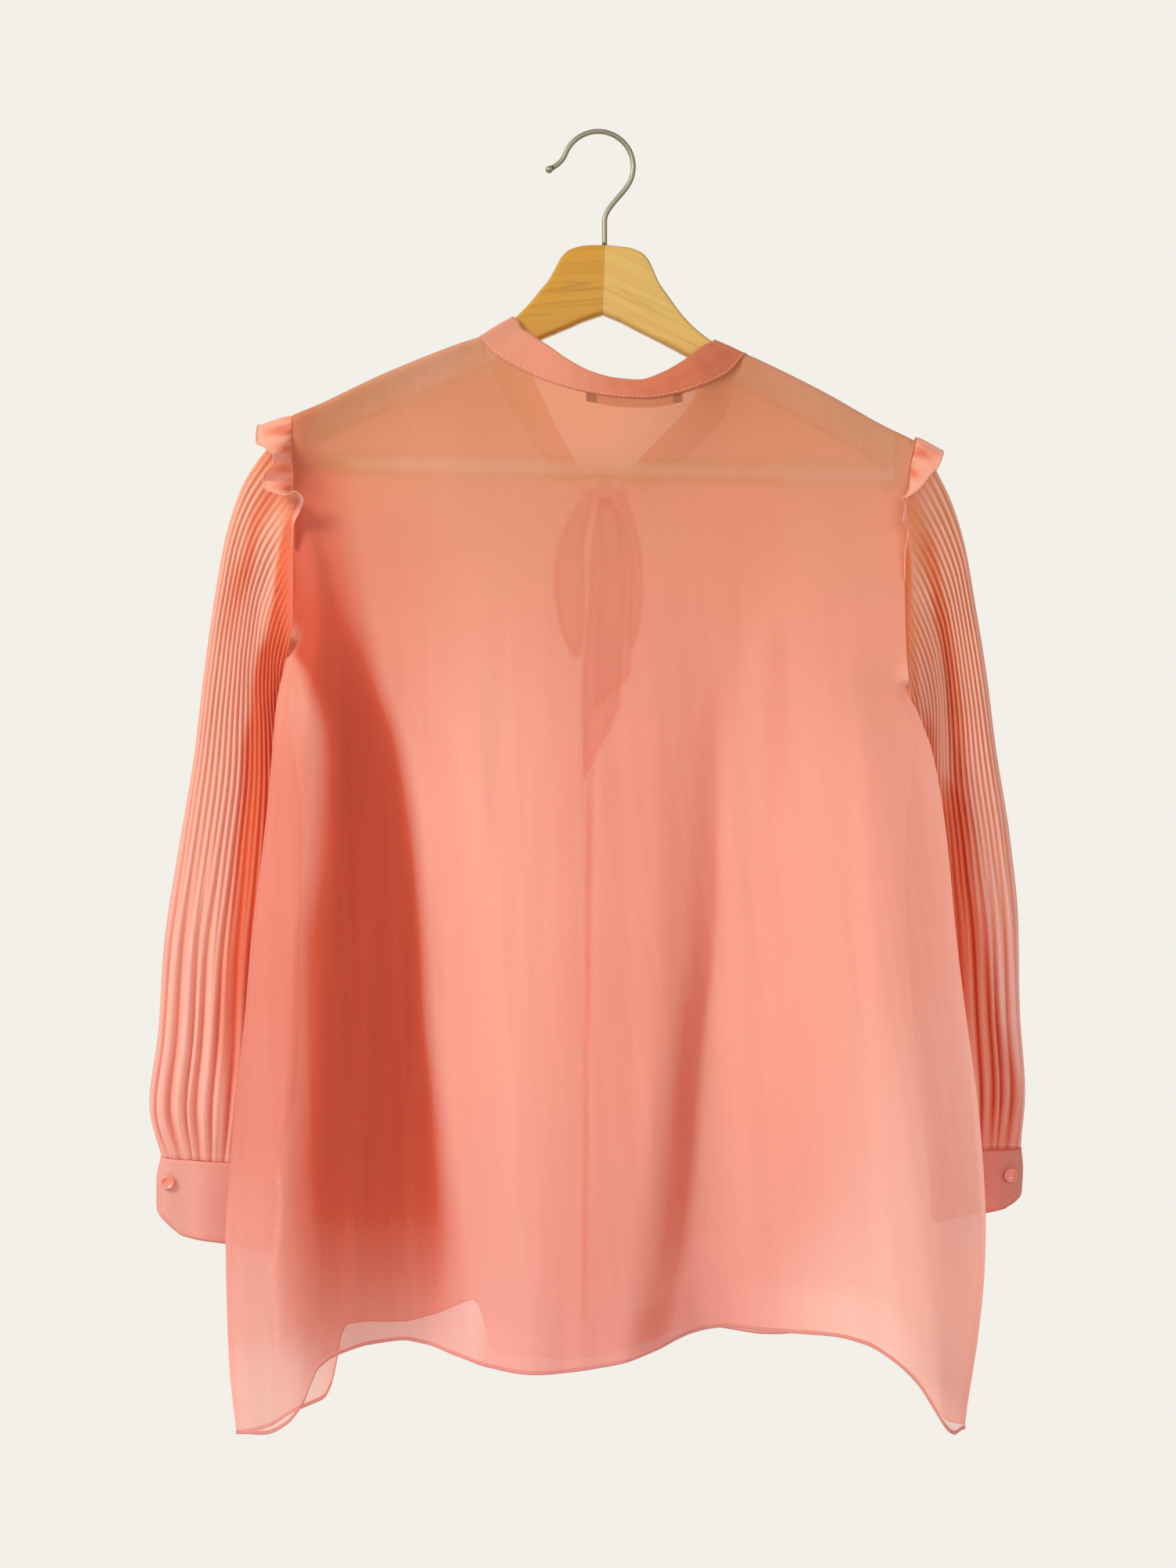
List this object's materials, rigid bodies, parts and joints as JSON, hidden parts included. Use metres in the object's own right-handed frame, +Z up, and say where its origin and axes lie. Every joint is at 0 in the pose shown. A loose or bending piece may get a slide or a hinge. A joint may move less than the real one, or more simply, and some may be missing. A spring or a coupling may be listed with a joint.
{
  "type": "blouse on a hanger",
  "caption": "Sheer hip-length blouse with a curved hem, pleated sleeves, ruffled sleeve heads, buttoned cuffs and a tied V neck, hung on a wooden trouser hanger.",
  "frame": {"origin": "inner top of the hook's loop, where a rail or nail carries the hanger", "axes": "+Z up, -Y out of the garment's back (the side shown), +Y out of its front, +X to the right when the back is faced"},
  "size_m": [0.6121, 0.1018, 0.8898],
  "materials": {
    "chiffon": "sheer crinkled coral chiffon",
    "label": "woven blank strip",
    "button": "dyed to match, satin",
    "wood": "clear varnish",
    "wood_dark": "clear varnish",
    "steel": "bright plated wire"
  },
  "bodies": {
    "root": {"back_panel": "chiffon", "button_left": "button", "button_right": "button", "cuff_left": "chiffon", "cuff_right": "chiffon", "front_panel_left": "chiffon", "front_panel_right": "chiffon", "hanger_arm_left": "wood_dark", "hanger_arm_right": "wood", "hanger_bar": "wood", "hook": "steel", "neck_label": "label", "neckband": "chiffon", "ruffle_left": "chiffon", "ruffle_right": "chiffon", "sleeve_left": "chiffon", "sleeve_right": "chiffon", "tie_knot": "chiffon", "tie_loop_left": "chiffon", "tie_loop_right": "chiffon", "tie_tail_long": "chiffon", "tie_tail_short": "chiffon"}
  },
  "joints": []
}
